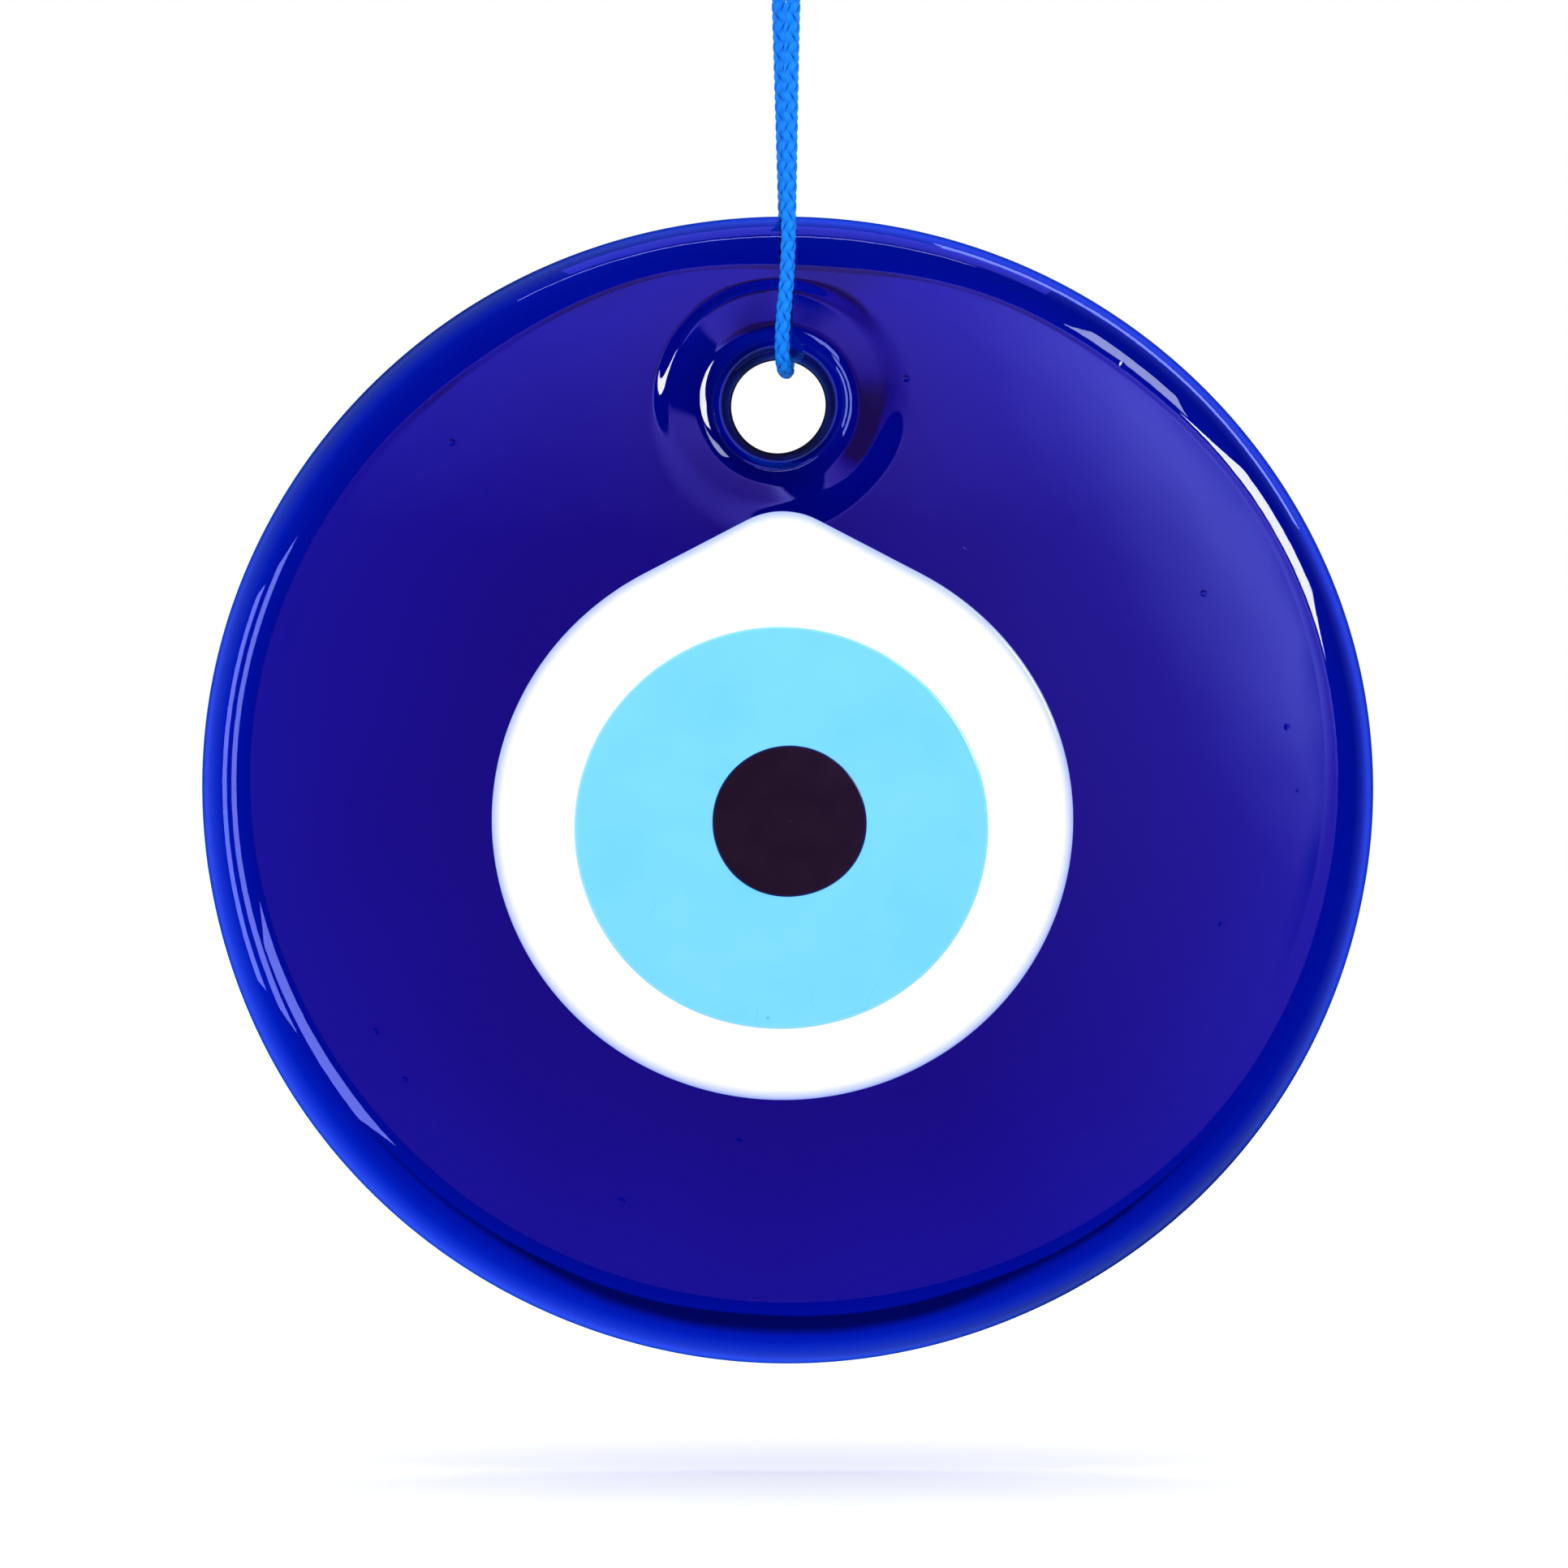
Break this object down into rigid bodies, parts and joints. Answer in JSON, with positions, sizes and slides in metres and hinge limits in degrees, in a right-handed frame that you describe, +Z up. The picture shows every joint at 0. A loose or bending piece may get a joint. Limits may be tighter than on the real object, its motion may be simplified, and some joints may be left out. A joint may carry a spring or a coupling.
{
  "type": "evil eye ornament",
  "caption": "Round cobalt-glass hanging ornament with a drop-shaped glass eye, pierced near its top and hung on a loop of thin braided cord.",
  "frame": {"origin": "top of the nail or hook that the cord loop hangs on, at the middle of the loop", "axes": "+Z up, +X to the viewer's right across the disc, -Y out of the eye towards the viewer; the flat back faces +Y"},
  "size_m": [0.1, 0.0097, 0.1574],
  "materials": {
    "cobalt_glass": "polished, clear cobalt blue",
    "white_glass": "polished, opaque",
    "pale_blue_glass": "polished, opaque",
    "black_glass": "polished, opaque",
    "cord_braid": "braided, slightly shiny nylon"
  },
  "bodies": {
    "hanger": {"cord_neck_left": "cord_braid", "cord_neck_right": "cord_braid", "knot": "cord_braid", "cord_tail_left": "cord_braid", "cord_tail_right": "cord_braid"},
    "cord_upper": {"cord_leg_left": "cord_braid", "cord_leg_right": "cord_braid"},
    "cord_lower": {"cord_bight": "cord_braid"},
    "disc": {"glass_body": "cobalt_glass", "white_drop": "white_glass", "iris": "pale_blue_glass", "pupil": "black_glass"}
  },
  "joints": [
    {"name": "cord_swing", "type": "hinge", "parent": "hanger", "child": "cord_upper", "pos_m": [0, 0, -0.0012], "axis": [1, 0, 0], "range_deg": [-45, 45]},
    {"name": "cord_twist", "type": "hinge", "parent": "cord_upper", "child": "cord_lower", "pos_m": [0, 0, -0.03], "axis": [0, 0, 1], "range_deg": [-180, 180]},
    {"name": "disc_sway", "type": "hinge", "parent": "cord_lower", "child": "disc", "pos_m": [0, 0, -0.06215], "axis": [0, 1, 0], "range_deg": [-30, 30]}
  ]
}
